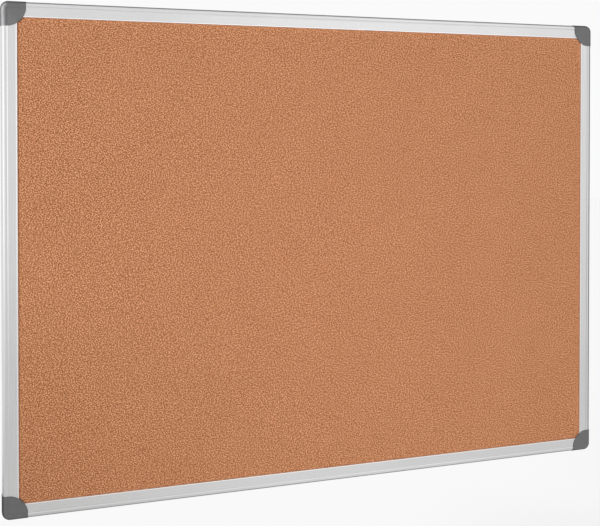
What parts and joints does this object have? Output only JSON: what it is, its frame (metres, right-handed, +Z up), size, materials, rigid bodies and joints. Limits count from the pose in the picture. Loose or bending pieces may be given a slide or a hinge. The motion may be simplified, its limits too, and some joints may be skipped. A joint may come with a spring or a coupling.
{
  "type": "framed cork notice board",
  "caption": "Wall board with a cork face in a grooved aluminium frame, held at the corners by moulded brackets under grey pull-off caps; pins and badges push into the cork.",
  "frame": {"origin": "middle of the plane that lies against the wall, at the centre of the board", "axes": "+X to the right seen from the front, +Y into the wall so the cork faces -Y, +Z up"},
  "size_m": [1.203, 0.0215, 0.903],
  "materials": {
    "cork": "fine agglomerated cork, matt",
    "fibreboard": "soft wood-fibre board, raw",
    "liner": "plain kraft liner",
    "aluminium": "satin natural anodised extrusion",
    "cap_plastic": "fine-textured grey moulding",
    "bracket_plastic": "plain dark moulding",
    "zinc": "bright zinc plate"
  },
  "bodies": {
    "board": {"cork_sheet": "cork", "core_board": "fibreboard", "backing_sheet": "liner", "top_rail": "aluminium", "bottom_rail": "aluminium", "left_rail": "aluminium", "right_rail": "aluminium", "corner_bracket_top_left": "bracket_plastic", "bracket_screw_top_left_a": "zinc", "bracket_screw_top_left_b": "zinc", "corner_bracket_top_right": "bracket_plastic", "bracket_screw_top_right_a": "zinc", "bracket_screw_top_right_b": "zinc", "corner_bracket_bottom_right": "bracket_plastic", "bracket_screw_bottom_right_a": "zinc", "bracket_screw_bottom_right_b": "zinc", "corner_bracket_bottom_left": "bracket_plastic", "bracket_screw_bottom_left_a": "zinc", "bracket_screw_bottom_left_b": "zinc"},
    "cap_top_left": {"corner_cap_top_left": "cap_plastic"},
    "cap_top_right": {"corner_cap_top_right": "cap_plastic"},
    "cap_bottom_right": {"corner_cap_bottom_right": "cap_plastic"},
    "cap_bottom_left": {"corner_cap_bottom_left": "cap_plastic"}
  },
  "joints": [
    {"name": "cap_pull_top_left", "type": "slide", "parent": "board", "child": "cap_top_left", "axis": [0, -1, 0], "range_m": [0, 0.03]},
    {"name": "cap_pull_top_right", "type": "slide", "parent": "board", "child": "cap_top_right", "axis": [0, -1, 0], "range_m": [0, 0.03]},
    {"name": "cap_pull_bottom_right", "type": "slide", "parent": "board", "child": "cap_bottom_right", "axis": [0, -1, 0], "range_m": [0, 0.03]},
    {"name": "cap_pull_bottom_left", "type": "slide", "parent": "board", "child": "cap_bottom_left", "axis": [0, -1, 0], "range_m": [0, 0.03]}
  ]
}
